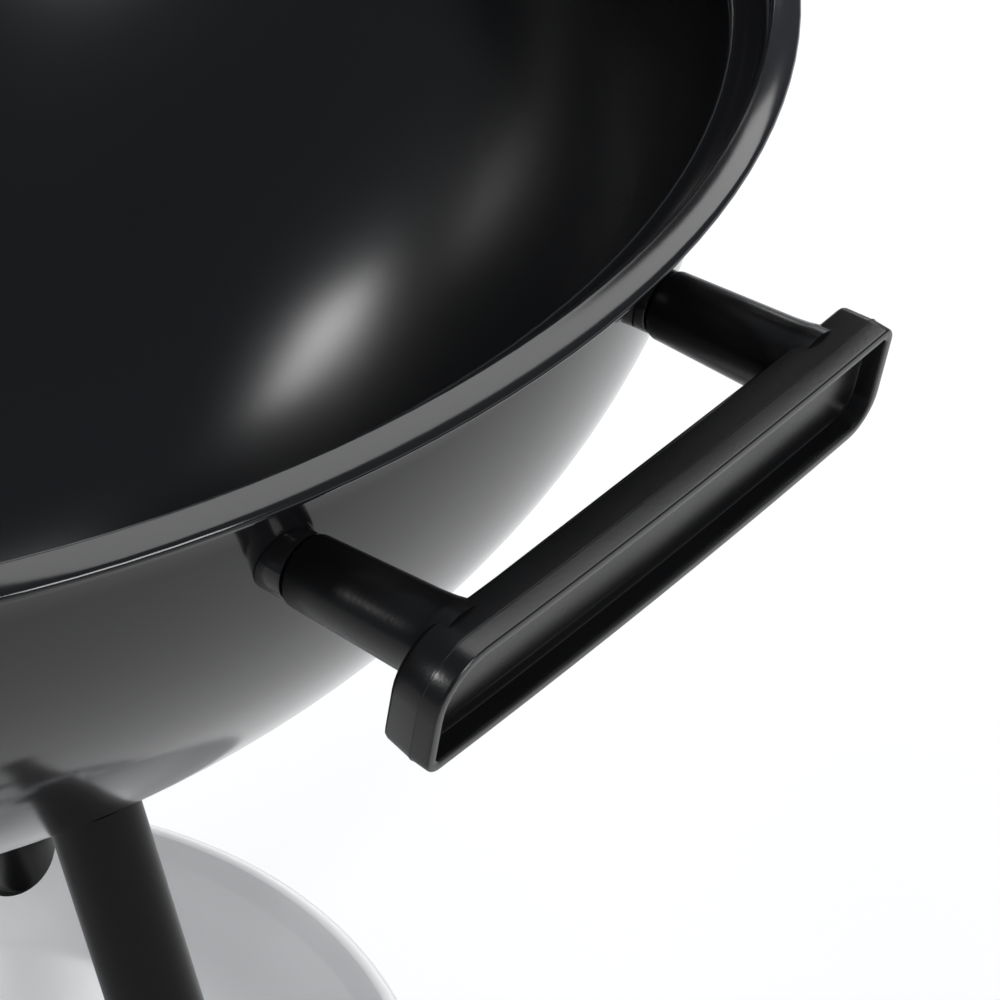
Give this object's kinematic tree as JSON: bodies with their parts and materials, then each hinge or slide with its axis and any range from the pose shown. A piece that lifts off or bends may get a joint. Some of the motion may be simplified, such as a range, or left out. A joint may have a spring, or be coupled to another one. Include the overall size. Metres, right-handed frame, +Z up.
{
  "type": "kettle charcoal grill",
  "caption": "Kettle charcoal grill on three splayed tube legs with two wheels, a rear-hinged lid stored open, side handles, dampers, grates, an ash pan and a wire rack.",
  "frame": {"origin": "middle of the grill's footprint box, on the floor", "axes": "+Z up, +X from the bowl's axis towards the side handle over the front leg, +Y towards the lid hinge"},
  "size_m": [0.5248, 0.7412, 1.1721],
  "materials": {
    "enamel_black": "high-gloss black vitreous enamel",
    "powder_black": "satin black powder coat",
    "plastic_black": "satin black glass-filled nylon with a light orange peel",
    "tyre_black": "matte black rubber",
    "aluminium": "satin rolled sheet",
    "plated_wire": "bright plated wire",
    "zinc_steel": "zinc-plated steel"
  },
  "bodies": {
    "base": {"bowl": "enamel_black", "grate_tab_1": "enamel_black", "grate_tab_2": "enamel_black", "grate_tab_3": "enamel_black", "bottom_damper_rivet": "zinc_steel", "leg_socket_front": "powder_black", "leg_front": "powder_black", "leg_bolt_front": "zinc_steel", "leg_socket_left": "powder_black", "leg_left": "powder_black", "leg_bolt_left": "zinc_steel", "leg_socket_right": "powder_black", "leg_right": "powder_black", "leg_bolt_right": "zinc_steel", "foot_cap": "plastic_black", "axle": "zinc_steel", "axle_cap_left": "plastic_black", "axle_cap_right": "plastic_black", "pan_clip_front": "zinc_steel", "pan_clip_left": "zinc_steel", "pan_clip_right": "zinc_steel", "bottom_rack": "plated_wire", "handle_right": "plastic_black", "handle_washer_right_a": "enamel_black", "handle_screw_right_a": "zinc_steel", "handle_washer_right_b": "enamel_black", "handle_screw_right_b": "zinc_steel", "handle_left": "plastic_black", "handle_washer_left_a": "enamel_black", "handle_screw_left_a": "zinc_steel", "handle_washer_left_b": "enamel_black", "handle_screw_left_b": "zinc_steel", "grate_hook": "plated_wire", "hinge_bracket_bowl": "powder_black", "hinge_pin": "zinc_steel", "hinge_bolt_bowl_a": "zinc_steel", "hinge_bolt_bowl_b": "zinc_steel"},
    "lid": {"lid": "enamel_black", "lid_handle": "plastic_black", "lid_washer_a": "enamel_black", "lid_screw_a": "zinc_steel", "lid_washer_b": "enamel_black", "lid_screw_b": "zinc_steel", "lid_damper_rivet": "zinc_steel", "hinge_bracket_lid": "powder_black", "hinge_bolt_lid_a": "zinc_steel", "hinge_bolt_lid_b": "zinc_steel"},
    "lid_damper": {"lid_damper": "aluminium"},
    "bottom_damper": {"bottom_damper": "aluminium"},
    "wheel_left": {"wheel_left": "plastic_black", "tyre_left": "tyre_black"},
    "wheel_right": {"wheel_right": "plastic_black", "tyre_right": "tyre_black"},
    "ash_pan": {"ash_pan": "aluminium"},
    "charcoal_grate": {"charcoal_grate": "plated_wire"},
    "cooking_grate": {"cooking_grate": "plated_wire"}
  },
  "joints": [
    {"name": "lid_hinge", "type": "hinge", "parent": "base", "child": "lid", "pos_m": [0.00304, 0.11838, 0.698], "axis": [1, 0, 0], "range_deg": [0, 100]},
    {"name": "lid_damper_turn", "type": "hinge", "parent": "lid", "child": "lid_damper", "pos_m": [0.00304, 0.32563, 1.02321], "axis": [0, 0.9703, 0.2419], "range_deg": [0, 60]},
    {"name": "bottom_damper_turn", "type": "hinge", "parent": "base", "child": "bottom_damper", "pos_m": [0.00304, -0.13562, 0.50887], "axis": [0, 0, 1], "range_deg": [0, 60]},
    {"name": "wheel_left_spin", "type": "hinge", "parent": "base", "child": "wheel_left", "pos_m": [-0.09917, 0.07038, 0.075], "axis": [0, 1, 0], "continuous": true},
    {"name": "wheel_right_spin", "type": "hinge", "parent": "base", "child": "wheel_right", "pos_m": [-0.09917, -0.34162, 0.075], "axis": [0, 1, 0], "continuous": true},
    {"name": "ash_pan_lift", "type": "slide", "parent": "base", "child": "ash_pan", "axis": [0, 0, 1], "range_m": [0, 0.02]},
    {"name": "charcoal_grate_lift", "type": "slide", "parent": "base", "child": "charcoal_grate", "axis": [0, 0, 1], "range_m": [0, 0.02]},
    {"name": "cooking_grate_swing", "type": "hinge", "parent": "base", "child": "cooking_grate", "pos_m": [-0.25453, -0.13562, 0.62602], "axis": [0, 1, 0], "range_deg": [-8, 30]}
  ]
}
